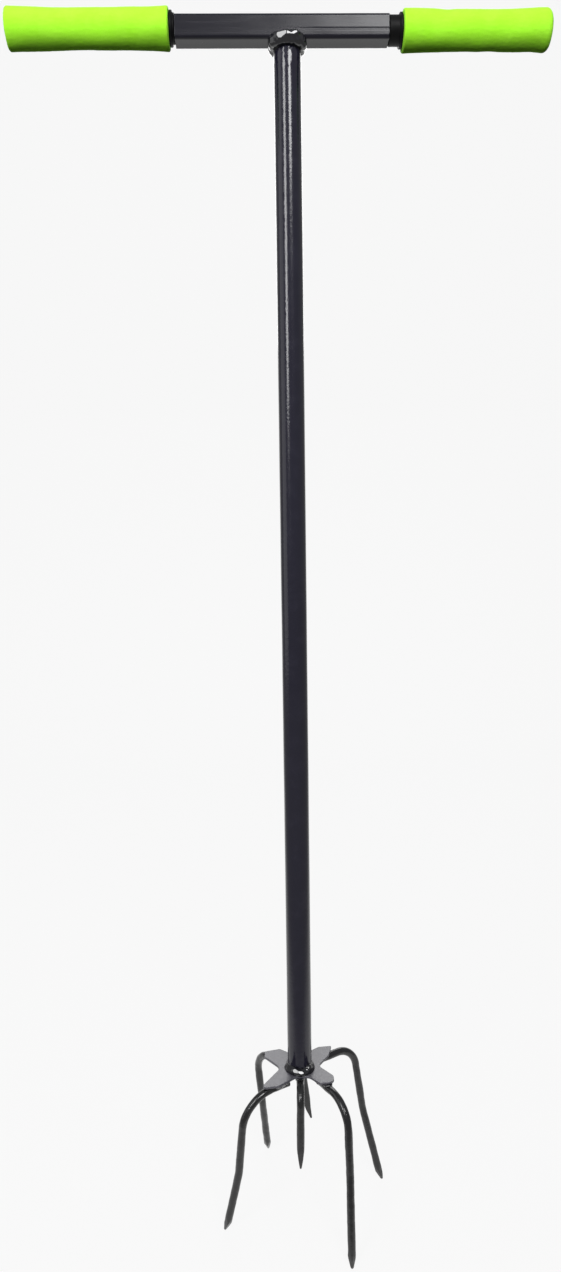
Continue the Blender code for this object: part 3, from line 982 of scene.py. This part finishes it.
@dataclass(frozen=True)
class TinePlate:
    """The plate: a notch in each side leaves four lobes, cut by hand and a little askew.

    Each corner of its outline has x, y and rounding: a notch, then a lobe's shoulder,
    corner and other shoulder. The notches are the right, rear, left and front one, and
    the front one has a flat bottom, with two corners.
    """

    corners: tuple[Triple, ...] = (
        (0.0175, 0.0011, 0.0060), (0.0286, 0.0183, 0.0040), (0.0318, 0.0327, 0.0012),
        (0.0190, 0.0314, 0.0060),
        (-0.0005, 0.0160, 0.0060), (-0.0178, 0.0298, 0.0030), (-0.0322, 0.0262, 0.0032),
        (-0.0327, 0.0175, 0.0030),
        (-0.0179, -0.0009, 0.0075), (-0.0340, -0.0260, 0.0030), (-0.0336, -0.0305, 0.0024),
        (-0.0200, -0.0285, 0.0050),
        (-0.0035, -0.0146, 0.0060), (0.0080, -0.0156, 0.0050), (0.0168, -0.0258, 0.0035),
        (0.0303, -0.0246, 0.0052), (0.0300, -0.0146, 0.0040),
    )
    edge_roll: float = 0.0005
    burr: float = 0.00020
    dish: float = 0.00018
    wave_noise: Pair = (0.00003, 0.014)
    seed: int = 31
    outline_step: float = 0.0005
    inner_ring: float = 0.02
    face_rings: int = 26
    ring_power: float = 0.8
    sharp_angle: float = 50.0

    def outline(self) -> np.ndarray:
        """Outline from above: the corners, each rounded.

        Returns:
            Evenly spaced (x, y) points.
        """
        places = [np.array([x, y, 0.0]) for x, y, _ in self.corners]
        roundings = tuple(rounding for _, _, rounding in self.corners)
        start = (places[0] + places[-1]) / 2
        return bent_path([start, *places, start], roundings, self.outline_step)[:-1, :2]

    def build(self) -> None:
        """Build and dress the plate.

        Rings of the outline, drawn in along its own normals and towards the middle, run
        from the underside's middle round the edge to the top's middle. The top edge is
        a quarter round and the bottom edge a small burr.
        """
        low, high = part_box("tine_plate")
        outline = self.outline()
        tangent = np.roll(outline, -1, axis=0) - np.roll(outline, 1, axis=0)
        out = unit(np.stack([tangent[:, 1], -tangent[:, 0]], axis=-1))
        roll = self.edge_roll

        def ring(inset: float, share: float, z: float) -> np.ndarray:
            """The outline at a height, drawn in by an inset and then to a share."""
            flat = (outline - out * inset) * share
            return np.column_stack([flat, np.full(len(flat), z)])

        shares = np.linspace(self.inner_ring, 1.0, self.face_rings) ** self.ring_power
        edge = high.z - low.z - roll - self.burr
        rings = [ring(roll, share, low.z) for share in shares]
        rings += [ring(self.burr, 1.0, low.z), ring(0.0, 1.0, low.z + self.burr)]
        rings += [ring(0.0, 1.0, low.z + edge * t + self.burr) for t in (0.25, 0.5, 0.75)]
        rings += [ring(roll * (1 - cos(a)), 1.0, high.z - roll * (1 - sin(a)))
                  for a in np.linspace(0.0, pi / 2, 7)]
        rings += [ring(roll, share, high.z) for share in shares[::-1][1:]]
        skin = Skin(np.array(rings))
        reach = np.linalg.norm(skin.grid[..., :2], axis=-1)
        skin.grid[..., 2] -= self.dish * (1 - ease(reach, 0.0, high.x))
        raise_by = soft_noise(skin.grid, self.wave_noise, self.seed)
        dress(skin.raised(raise_by), "stamped_plate", PLATE_GLOSS, "tine_plate",
              self.sharp_angle)


@dataclass(frozen=True)
class Tine:
    """A bent round-rod tine whose point has four ground faces."""

    name: str
    bearing: float
    turn: float
    point: Triple
    shoulder: Pair
    elbow: Triple | None
    root: Pair
    bends: tuple[float, ...]
    aside: float
    point_length: float
    spread: float
    seed: int
    radius: float = 0.0035
    sides: int = 48
    step: float = 0.0006
    spread_run: float = 0.6
    ground_share: float = 1.33
    tip_half_width: float = 0.0008
    tip_length: float = 0.0009
    tip_flat: float = 0.7
    face_power: float = 12.0
    fine_noise: Pair = (0.00004, 0.006)
    slow_noise: Pair = (0.00006, 0.016)
    burr_noise: Pair = (1.0, 0.004)
    burr: float = 0.00016
    burr_run: float = 0.0013
    sharp_angle: float = 50.0

    def path(self, top: float) -> np.ndarray:
        """Centre line from the root under the plate to the point.

        Args:
            top: height of the rod's centre line under the plate.

        Returns:
            Evenly spaced points.
        """
        corners = [(*self.root, top), (*self.shoulder, top)]
        if self.elbow is not None:
            corners.append(self.elbow)
        corners.append(self.point)
        placed = [on_bearing(corner, self.bearing + self.turn) for corner in corners]
        return bent_path(placed, self.bends, self.step)

    def build(self, top: float) -> np.ndarray:
        """Build and dress the tine.

        A ring is carried along the path. Its radius is the smaller of the rod's, r, and
        a rounded square's, s, softened to (r^-p + s^-p)^(-1/p). The square's half width
        grows evenly from the tip to the rod's radius, where the ground faces run out.
        The rod spreads a little there, the tip steps aside to where the rod leans, and
        soft noise makes the rod uneven.

        Args:
            top: height of the rod's centre line under the plate.

        Returns:
            The centre line.
        """
        path = self.path(top)
        back = np.linalg.norm(np.diff(path, axis=0), axis=1)[::-1].cumsum()[::-1]
        back = np.append(back, 0.0)
        ahead = unit(path[-1] - path[-2])
        lean = unit(ahead * [1.0, 1.0, 0.0])
        step = unit(lean - ahead * (ahead @ lean)) * self.aside
        line = path + step * np.clip(1 - back / self.point_length, 0.0, 1.0)[:, None]
        swelling = hump(back, self.point_length, self.point_length * self.spread_run)
        rod = self.radius * (1 + self.spread * swelling)
        half = self.tip_half_width + (self.radius - self.tip_half_width) * back / (
            self.ground_share * self.point_length)
        p = self.face_power
        angle = around(self.sides)[None, :]
        square = half[:, None] * superellipse(angle, p)
        ring = (square ** -p + rod[:, None] ** -p) ** (-1 / p)
        tip = np.clip(back / self.tip_length, 0.0, 1.0)
        ring *= np.sqrt(1 - self.tip_flat * (1 - tip) ** 2)[:, None]
        section = np.stack([ring * np.cos(angle), ring * np.sin(angle)], axis=-1)
        grid = swept(line, on_bearing((0.0, 1.0, 0.0), self.bearing), section)
        raise_by = (soft_noise(grid, self.fine_noise, self.seed)
                    + soft_noise(grid, self.slow_noise, self.seed + 1))
        burrs = hump(back, self.point_length, self.burr_run)[:, None] * self.burr
        raise_by += burrs * np.maximum(soft_noise(grid, self.burr_noise, self.seed + 2), 0.0)
        dress(Skin(grid).raised(raise_by), f"forged_{self.name}_tine", ROD_GLOSS,
              f"{self.name}_tine", self.sharp_angle)
        return path


@dataclass(frozen=True)
class TineBead:
    """A lumpy bead under the plate, wrapped round the root of a tine."""

    centre: float
    half_length: float
    half_width: float
    depth: float
    sunk: float = 0.0002
    end: float = 0.97
    ripples: float = 9.0
    ripple_depth: float = 0.00035
    ripple_mean: float = 0.6
    lump_noise: Pair = (0.0003, 0.0042)
    grit_noise: Pair = (0.0001, 0.0016)
    rows: int = 60
    columns: int = 48

    def build(self, tine: Tine, path: np.ndarray, under: float) -> None:
        """Build and dress the bead.

        Half an ellipsoid, long way along the rod, whose flat side lies in the plate's
        underside. It is raised by cross ripples and by noise of two sizes.

        Args:
            tine: the tine that it holds.
            path: the tine's centre line.
            under: height of the plate's underside.
        """
        ahead = unit(path[3] - path[0])
        across = np.array([-ahead[1], ahead[0], 0.0])
        middle = path[0] + ahead * (self.centre - float(path[0] @ ahead))
        share = np.sin(np.linspace(-pi / 2 * self.end, pi / 2 * self.end, self.rows))
        swell = np.sqrt(1 - share ** 2)[:, None]
        angle = around(self.columns)[None, :]
        wide = np.cos(angle) * self.half_width * swell
        deep = np.where(np.sin(angle) > 0, np.sin(angle) * self.depth, 0.0) * swell
        grid = (middle[None, None] + ahead * (share * self.half_length)[:, None, None]
                + across * wide[..., None])
        grid[..., 2] = under + self.sunk - deep
        ripple = np.abs(np.sin(share * self.ripples + tine.seed))[:, None]
        raise_by = (self.ripple_depth * (ripple - self.ripple_mean)
                    + soft_noise(grid, self.lump_noise, tine.seed)
                    + soft_noise(grid, self.grit_noise, tine.seed + 3))
        grid = Skin(grid).raised(raise_by).grid
        grid[..., 2] = np.minimum(grid[..., 2], under + self.sunk)
        node = f"{tine.name}_tine_weld"
        dress(Skin(grid), f"lumpy_{node}", WELD_GLOSS, node)


# Grips


@dataclass(frozen=True)
class GripCore:
    """The plastic plug: barbed peg, sleeve, and a collar with a lip at the foam's mouth."""

    way: Way
    shown: float
    axis_radius: float = 0.0005
    peg_length: float = 0.028
    peg_radius: float = 0.0055
    peg_end_radius: float = 0.0044
    barb_radius: float = 0.0077
    barbs: int = 3
    barb_places: tuple[float, ...] = (0.4, 0.85, 1.0, 1.05)
    sleeve_radius: float = 0.011
    sleeve_bore: float = 0.0092
    collar_radius: float = 0.0128
    collar_width: float = 0.0022
    soft_edge: float = 0.0006
    seam_height: float = 0.00012
    seam_bearing: float = 0.9
    seam_width: float = 0.03
    sides: int = 120
    sharp_angle: float = 40.0

    def build(self, bar_end: float, bar_height: float) -> None:
        """Build and dress the plug: one closed profile spun about the bar's axis.

        Args:
            bar_end: X of the crossbar's end.
            bar_height: height of the crossbar's axis.
        """
        node = f"{self.way.name.lower()}_grip_core"
        low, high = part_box(node)
        sign = self.way.value
        sleeve_end = (high.x if sign > 0 else -low.x) - sign * bar_end
        lift = (high.z + low.z) / 2 - bar_height
        pitch = self.peg_length / (self.barbs + 1)
        edge, sleeve = self.soft_edge, self.sleeve_radius
        collar = self.shown - self.collar_width
        rim = self.collar_radius - edge
        radii = (self.peg_radius, self.barb_radius, self.barb_radius, self.peg_radius)
        pegs = [[(radius, -self.peg_length + pitch * (k + place))
                 for radius, place in zip(radii, self.barb_places)] for k in range(self.barbs)]
        profile = np.vstack([
            [(self.axis_radius, -self.peg_length), (self.peg_end_radius, -self.peg_length)],
            *pegs,
            [(self.peg_radius, GAP)],
            arc((sleeve - edge, GAP + edge), edge, -90, 0, 5),
            run((sleeve, GAP + edge), (sleeve, collar - edge), 10)[1:],
            arc((sleeve + edge, collar - edge), edge, 180, 90, 5)[1:],
            arc((rim, collar + edge), edge, -90, 0, 6),
            arc((rim, self.shown - edge), edge, 0, 90, 6),
            run((sleeve, self.shown), (sleeve, sleeve_end), 20),
            run((self.sleeve_bore, sleeve_end), (self.sleeve_bore, self.shown), 8),
            [(self.axis_radius, self.shown)],
        ])
        profile[:, 1] *= sign
        skin = Skin(turned(profile, self.sides, "X", np.array([bar_end, 0.0, bar_height])))
        beyond = sign * (skin.grid[..., 0] - bar_end) > 0
        skin.grid[..., 2] += np.where(beyond, lift, 0.0)
        angle = np.arctan2(skin.grid[..., 1], skin.grid[..., 2] - bar_height)
        seam = self.seam_height * sum(hump(angle, self.seam_bearing - turn, self.seam_width)
                                      for turn in (0.0, pi))
        dress(skin.raised(np.where(beyond, seam, 0.0)), f"moulded_{node}", MouldedPlastic(),
              node, self.sharp_angle)


@dataclass(frozen=True)
class FoamGrip:
    """The foam grip: waisted, soft at its mouth and rounded at its closed outer end."""

    way: Way
    end_roll: float
    axis_radius: float = 0.0006
    waist_radius: float = 0.0148
    waist_power: float = 2.5
    bore: float = 0.0113
    bore_edge: float = 0.0004
    end_wall: float = 0.006
    mouth_roll: float = 0.0016
    inset: float = 0.0003
    dome: float = 0.0005
    dome_width: float = 0.7
    dome_run: float = 0.0005
    uneven_noise: Pair = (0.00014, 0.021)
    pebble_noise: Pair = (0.00003, 0.0032)
    rows: int = 116
    sides: int = 150
    seed: int = 40

    def build(self) -> None:
        """Build and dress the grip.

        The profile runs from the axis inside, along the bore, round the mouth, along
        the outside and over the end. Outside, the radius is waist + (end - waist) *
        |2s - 1|^p with s along the grip, and soft noise makes it hand-cut and uneven.
        """
        side = self.way.name.lower()
        low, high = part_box(f"{side}_foam_grip")
        sign = self.way.value
        mouth, end = sorted((sign * low.x, sign * high.x))
        radius, height = (high.z - low.z) / 2, (high.z + low.z) / 2
        roll, end_roll = self.mouth_roll, self.end_roll
        share = np.linspace(0.0, 1.0, self.rows)
        along = mouth + roll + (end - end_roll - mouth - roll) * share
        waist = self.waist_radius + (radius - self.waist_radius) * np.abs(
            2 * share - 1) ** self.waist_power
        inside = np.vstack([
            run((self.axis_radius, end - self.end_wall), (self.bore, end - self.end_wall), 8),
            run((self.bore, end - self.end_wall), (self.bore, mouth + self.bore_edge), 16)[1:],
            run((self.bore + self.bore_edge, mouth), (radius - roll, mouth), 6)[:-1],
        ])
        profile = np.vstack([
            inside,
            arc((radius - roll, mouth + roll), roll, -90, 0, 8)[:-1],
            np.stack([waist, along], axis=-1),
            arc((radius - end_roll, end - end_roll), end_roll, 0, 90, 14)[1:],
            run((radius - end_roll, end), (self.axis_radius, end), 12)[1:],
        ])
        profile[:, 1] *= sign
        skin = Skin(turned(profile, self.sides, "X", np.array([0.0, 0.0, height])))
        x, y, z = np.moveaxis(skin.grid, -1, 0)
        raise_by = (soft_noise(skin.grid, self.uneven_noise, self.seed + sign)
                    + soft_noise(skin.grid, self.pebble_noise, self.seed + 7) - self.inset)
        dome = self.dome * hump(np.hypot(y, z - height), 0.0, radius * self.dome_width)
        raise_by += dome * ease(sign * x, end - self.dome_run, end)
        raise_by[:len(inside) - 1] = 0.0
        piece = dress(skin.raised(raise_by), f"foam_{side}_grip", LimeFoam(),
                      f"{side}_foam_grip")


# Studio


@dataclass(frozen=True)
class PhotoCamera:
    """The camera that took the photograph, as fitted to it."""

    place: Triple = (-0.02956, -0.78823, 0.64133)
    yaw: float = -1.266
    pitch: float = 7.194
    roll: float = 0.823
    lens: float = 25.83
    sensor: float = 36.0
    nearest: float = 0.01

    def build(self) -> None:
        """Make the camera and the scene's active one.

        Pitch is looking down, yaw turns anticlockwise from above and roll tips the
        camera about its line of sight.
        """
        turn = (Matrix.Rotation(radians(self.yaw), 3, "Z")
                @ Matrix.Rotation(-radians(self.pitch), 3, "X")
                @ Matrix.Rotation(radians(self.roll), 3, "Y"))
        right, ahead, up = (Vector(turn.col[k]) for k in range(3))
        data = bpy.data.cameras.new("photo_camera")
        data.lens = self.lens
        data.sensor_width = self.sensor
        data.clip_start = self.nearest
        camera = linked("photo_camera", data)
        axes = Matrix((right, up, -ahead)).transposed().to_4x4()
        camera.matrix_world = Matrix.Translation(self.place) @ axes
        bpy.context.scene.camera = camera


@dataclass(frozen=True)
class Panel:
    """A soft light panel of an even brightness, aimed at a point.

    `level` keeps it upright, and `mirrored` says whether mirrors see it.
    """

    name: str
    bearing: float
    distance: float
    height: float
    width: float
    tall: float
    brightness: float
    aim: Triple = (0.0, 0.0, 0.9)
    level: bool = True
    mirrored: bool = True

    def build(self) -> None:
        """Make the lamp. Its power is brightness * pi * area, as for any flat emitter."""
        data = bpy.data.lights.new(self.name, "AREA")
        data.shape = "RECTANGLE"
        data.size, data.size_y = self.width, self.tall
        data.energy = self.brightness * pi * self.width * self.tall
        a = radians(self.bearing)
        place = Vector((self.distance * sin(a), -self.distance * cos(a), self.height))
        aim = Vector(self.aim)
        if self.level:
            aim.z = place.z
        turn = (aim - place).to_track_quat("-Z", "Y").to_matrix().to_4x4()
        lamp = linked(self.name, data)
        lamp.matrix_world = Matrix.Translation(place) @ turn
        lamp.visible_camera = False
        lamp.visible_glossy = self.mirrored


PANELS = (
    Panel("left_window", bearing=-32.5, distance=2.2, height=2.165, width=0.60, tall=2.27,
          brightness=9.0),
    Panel("right_window", bearing=15.5, distance=2.2, height=2.32, width=0.70, tall=1.17,
          brightness=14.0),
    Panel("front_fill", bearing=0.0, distance=2.4, height=1.45, width=2.0, tall=0.6,
          brightness=9.0, level=False, mirrored=False),
    Panel("side_card", bearing=-80.0, distance=1.9, height=1.2, width=1.4, tall=2.0,
          brightness=0.7),
    Panel("ceiling", bearing=0.0, distance=0.2, height=2.9, width=1.6, tall=1.6,
          brightness=1.5, level=False, mirrored=False),
    Panel("back_card", bearing=180.0, distance=1.9, height=1.55, width=1.8, tall=0.9,
          brightness=2.6, aim=(0.0, 0.0, 0.14), level=False),
)


@dataclass(frozen=True)
class Sweep:
    """A floor that curves up into a backdrop. Its own colour is dark, and it glows white behind
    the tool and grey around it, the same for camera, mirror and glass rays.

    The white glow's half width is `spread` times the distance behind `paper_origin`. Each of
    the pairs says where the change between grey and white begins and ends.
    """

    half_width: float = 7.0
    front: float = -6.0
    back: float = 2.3
    bend: float = 0.8
    top: float = 3.4
    white: float = 0.90
    grey: float = 0.34
    paper_origin: float = -0.87
    least_distance: float = 0.01
    spread: Pair = (0.33, 0.80)
    paper_front: Pair = (-0.32, -0.088)
    paper_top: Pair = (2.45, 2.9)
    colour: Colour = (0.05, 0.05, 0.05, 1.0)

    def build(self) -> None:
        """Make the sweep.

        Its profile runs level from the front, through a quarter round and straight up.
        Light that it scatters comes from its own colour.
        """
        profile = np.vstack([
            run((self.front, 0.0), (self.back - self.bend, 0.0), 24)[:-1],
            arc((self.back - self.bend, self.bend), self.bend, -90, 0, 16),
            run((self.back, self.bend), (self.back, self.top), 8)[1:],
        ])
        across = np.linspace(-self.half_width, self.half_width, 15)
        grid = np.stack(np.broadcast_arrays(across[None, :], profile[:, :1], profile[:, 1:]),
                        axis=-1)
        sweep = mesh_object("sweep", grid, quads(grid, False, False).tolist())
        sweep.data.materials.append(self.material())

    def material(self) -> bpy.types.Material:
        """Plain scattering, and the same glow for camera, mirror and glass rays.

        Returns:
            The material.
        """
        material, graph = new_graph("pale_sweep")
        x, y, z = graph.axes(graph.place())
        ahead = (y - self.paper_origin).either(self.least_distance)
        beside = graph.maths("DIVIDE", graph.maths("ABSOLUTE", x), ahead).step(*self.spread)
        white_glow_here = (1 - beside) * y.step(*self.paper_front) * (1 - z.step(*self.paper_top))
        glow = self.grey + (self.white - self.grey) * white_glow_here
        paper = graph.term("ShaderNodeBsdfDiffuse", {"Color": self.colour})
        light = graph.term("ShaderNodeEmission", {"Strength": glow * graph.looked_at()})
        graph.finish(graph.term("ShaderNodeAddShader", {0: paper, 1: light}))
        return material


@dataclass(frozen=True)
class GreyWorld:
    """An even grey world: its strength as light, and what camera, mirrors and glass see."""

    level: float = 0.035
    seen: float = 0.42
    colour: Colour = (0.95, 0.96, 1.0, 1.0)

    def build(self) -> None:
        """Make the world and the scene's own one."""
        world = bpy.data.worlds.new("studio")
        bpy.context.scene.world = world
        world.use_nodes = True
        graph = Graph(world.node_tree)
        strength = self.level + (self.seen - self.level) * graph.looked_at()
        back = graph.term("ShaderNodeBackground", {"Color": self.colour, "Strength": strength})
        graph.add("ShaderNodeOutputWorld", {"Surface": back})


# The tool


@dataclass(frozen=True)
class Bending:
    """How one outer tine was bent: what lies beyond the common shape, in its own frame.

    Distances are outward and sideways, and for the elbow also up.
    """

    bearing: float
    turn: float
    bend: float
    shoulder: Pair
    elbow: Triple
    point: Pair
    aside: float


OUTER_ROOT = (0.0180, 0.0027)
OUTER_SHOULDER = (0.0628, -0.0062)
OUTER_ELBOW = (0.0670, -0.0139, 0.0674)
OUTER_POINT = (0.0768, -0.0310, 0.0003)
OUTER_ELBOW_BEND = 0.062
OUTER_POINT_LENGTH = 0.0100
OUTER_FIRST_SEED = 60
OUTER_BENDINGS = {
    "front_left": Bending(-135.0, -1.8, 0.0311, (-0.0002, -0.0008), (-0.0025, -0.0011, -0.0080),
                          (-0.0058, 0.0043), 0.0013),
    "front_right": Bending(-45.0, 3.4, 0.0263, (-0.0009, -0.0041), (0.0010, -0.0013, 0.0048),
                           (0.0042, 0.0003), 0.0),
    "rear_right": Bending(45.0, -0.8, 0.0214, (0.0038, -0.0019), (0.0059, -0.0007, 0.0021),
                          (0.0011, -0.0027), 0.0013),
    "rear_left": Bending(135.0, -0.6, 0.0302, (-0.0014, 0.0035), (-0.0036, 0.0015, 0.0014),
                         (0.0006, -0.0019), 0.0008),
}
OUTER_BEAD = TineBead(centre=0.0260, half_length=0.0115, half_width=0.0060, depth=0.0056)

# Inner tines: bearing, how far the point lies sideways beyond the common shape, and how
# far the tip steps aside
INNER_ROOT = (0.0065, 0.0)
INNER_SHOULDER = (0.0325, -0.0008)
INNER_POINT = (0.0347, -0.0060, 0.0633)
INNER_BEND = 0.0125
INNER_POINT_LENGTH = 0.0140
INNER_SPREAD = 0.06
INNER_FIRST_SEED = 90
INNER_SETTINGS = {"front_inner": (-90.0, 0.0044, 0.0), "rear_inner": (90.0, -0.0043, 0.0018)}
INNER_BEAD = TineBead(centre=0.0100, half_length=0.0070, half_width=0.0050, depth=0.0054)
SEEDS_PER_TINE = 3

# How much of each core shows beside the foam, and how round the foam's end is
GRIP_SETTINGS = {Way.LEFT: (0.0042, 0.0014), Way.RIGHT: (0.0108, 0.0046)}


def shifted(place: tuple[float, ...], extra: tuple[float, ...]) -> tuple[float, ...]:
    """A (reach, side, height) place moved by as many distances as are given."""
    moved = [common + more for common, more in zip(place, extra)]
    return (*moved, *place[len(extra):])


def outer_tines() -> list[Tine]:
    """The four outer tines, each with its own bending."""
    return [Tine(name, own.bearing, own.turn, shifted(OUTER_POINT, own.point),
                 shifted(OUTER_SHOULDER, own.shoulder), shifted(OUTER_ELBOW, own.elbow),
                 OUTER_ROOT, (own.bend, OUTER_ELBOW_BEND), own.aside, OUTER_POINT_LENGTH,
                 spread=0.0, seed=OUTER_FIRST_SEED + SEEDS_PER_TINE * number)
            for number, (name, own) in enumerate(OUTER_BENDINGS.items())]


def inner_tines() -> list[Tine]:
    """The two inner tines, which have no elbow."""
    return [Tine(name, bearing, 0.0, shifted(INNER_POINT, (0.0, side)), INNER_SHOULDER, None,
                 INNER_ROOT, (INNER_BEND,), aside, INNER_POINT_LENGTH,
                 spread=INNER_SPREAD, seed=INNER_FIRST_SEED + SEEDS_PER_TINE * number)
            for number, (name, (bearing, side, aside)) in enumerate(INNER_SETTINGS.items())]


@dataclass(frozen=True)
class TwistTiller:
    """The whole tool: its steelwork, its tines and its grips."""

    shaft: ShaftTube = ShaftTube()
    crossbar: Crossbar = Crossbar()
    plate: TinePlate = TinePlate()
    hub_bead_sink: float = 0.0006

    def build_steelwork(self) -> None:
        """Shaft, crossbar, plate and the beads round the shaft."""
        for part in (self.shaft, self.crossbar, self.plate):
            part.build()
        HANDLE_BEAD.build(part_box("crossbar_tube")[0].z)
        plate_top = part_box("tine_plate")[1].z
        HUB_BEAD.build(plate_top, plate_top - self.hub_bead_sink)

    def build_tines(self) -> None:
        """Each tine and its bead under the plate."""
        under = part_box("tine_plate")[0].z
        for tines, bead in ((outer_tines(), OUTER_BEAD), (inner_tines(), INNER_BEAD)):
            for tine in tines:
                bead.build(tine, tine.build(under - GAP - tine.radius), under)

    def build_grips(self) -> None:
        """The plastic cores and the foam on both sides."""
        low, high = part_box("crossbar_tube")
        for way, (shown, end_roll) in GRIP_SETTINGS.items():
            bar_end = high.x if way is Way.RIGHT else low.x
            GripCore(way, shown).build(bar_end, (low.z + high.z) / 2)
            FoamGrip(way, end_roll).build()


def main() -> None:
    """Load the frame, build the pieces, light them and note the sizes."""
    logging.basicConfig(level=logging.INFO, format="%(message)s")
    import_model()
    PhotoCamera().build()
    tool = TwistTiller()
    tool.build_steelwork()
    tool.build_tines()
    tool.build_grips()
    for light in (Sweep(), GreyWorld(), *PANELS):
        light.build()
    bpy.context.scene.view_settings.view_transform = "Standard"


if __name__ == "__main__":
    main()
